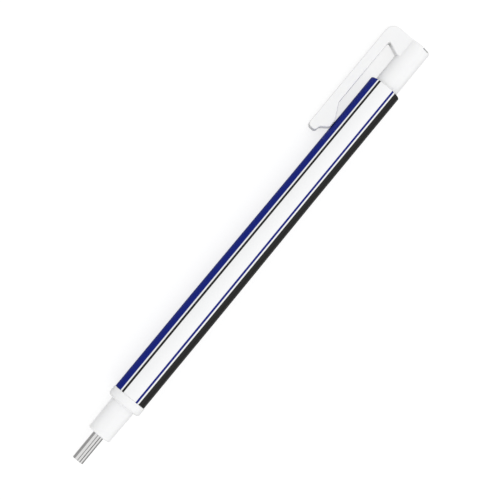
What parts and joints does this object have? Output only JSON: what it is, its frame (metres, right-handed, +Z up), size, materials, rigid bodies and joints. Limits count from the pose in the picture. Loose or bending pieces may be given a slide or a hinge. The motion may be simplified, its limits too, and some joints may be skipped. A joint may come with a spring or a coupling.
{
  "type": "pencil eraser stick",
  "caption": "Slim push-button eraser holder with steel guide pipe, pocket clip and a sprung chuck that feeds a thin round eraser stick.",
  "frame": {"origin": "on the holder's axis at the open end of the guide pipe", "axes": "+X along the axis from the pipe's open end to the button, +Z up with the holder lying on its barrel and its clip's edge, clip towards +Y and a little down"},
  "size_m": [0.119, 0.0126, 0.0084],
  "materials": {
    "banded_plastic": "glossy white tube printed with lengthwise deep blue and black bands",
    "white_plastic": "glossy moulded white",
    "steel_pipe": "bright drawn steel",
    "soft_rubber": "soft black rubber",
    "grey_plastic": "satin grey moulding",
    "natural_plastic": "natural acetal",
    "ring_brass": "turned brass",
    "spring_wire": "drawn spring wire",
    "tube_plastic": "milky extruded tube",
    "eraser_vinyl": "matt white vinyl"
  },
  "bodies": {
    "barrel": {"barrel": "banded_plastic", "nose_cone": "white_plastic", "guide_pipe": "steel_pipe", "friction_ring": "soft_rubber", "clutch_sleeve": "grey_plastic", "tail_bush": "grey_plastic", "return_spring": "spring_wire"},
    "push_unit": {"inner_tube": "tube_plastic", "tube_joint": "grey_plastic", "chuck_body": "natural_plastic"},
    "knock": {"knock_clip": "white_plastic"},
    "clutch_ring": {"clutch_ring": "ring_brass"},
    "jaw_1": {"chuck_jaw_1": "natural_plastic"},
    "jaw_2": {"chuck_jaw_2": "natural_plastic"},
    "jaw_3": {"chuck_jaw_3": "natural_plastic"},
    "eraser": {"eraser": "eraser_vinyl"}
  },
  "joints": [
    {"name": "knock_slide", "type": "slide", "parent": "barrel", "child": "push_unit", "axis": [-1, 0, 0], "range_m": [0, 0.004], "stiffness_N_per_m": 400, "springref_m": -0.003, "deforming": ["return_spring"]},
    {"name": "refill_pull", "type": "slide", "parent": "push_unit", "child": "knock", "axis": [1, 0, 0], "range_m": [0, 0.012]},
    {"name": "clutch_slide", "type": "slide", "parent": "barrel", "child": "clutch_ring", "axis": [-1, 0, 0], "range_m": [0, 0.0012]},
    {"name": "eraser_feed", "type": "slide", "parent": "barrel", "child": "eraser", "axis": [-1, 0, 0], "range_m": [0, 0.066]},
    {"name": "jaw_1_open", "type": "hinge", "parent": "push_unit", "child": "jaw_1", "pos_m": [0.0268, -0.00141, 0.00034], "axis": [0, 0.2344, 0.9721], "range_deg": [0, 0.8]},
    {"name": "jaw_2_open", "type": "hinge", "parent": "push_unit", "child": "jaw_2", "pos_m": [0.0268, 0.00041, -0.00139], "axis": [0, -0.9591, -0.2831], "range_deg": [0, 0.8]},
    {"name": "jaw_3_open", "type": "hinge", "parent": "push_unit", "child": "jaw_3", "pos_m": [0.0268, 0.001, 0.00105], "axis": [0, 0.7247, -0.6891], "range_deg": [0, 0.8]}
  ],
  "couplings": [
    {"joint": "clutch_slide", "follows": "knock_slide", "ratio": 0.3},
    {"joint": "jaw_1_open", "follows": "knock_slide", "rad_per_m": 3.49},
    {"joint": "jaw_2_open", "follows": "knock_slide", "rad_per_m": 3.49},
    {"joint": "jaw_3_open", "follows": "knock_slide", "rad_per_m": 3.49}
  ]
}
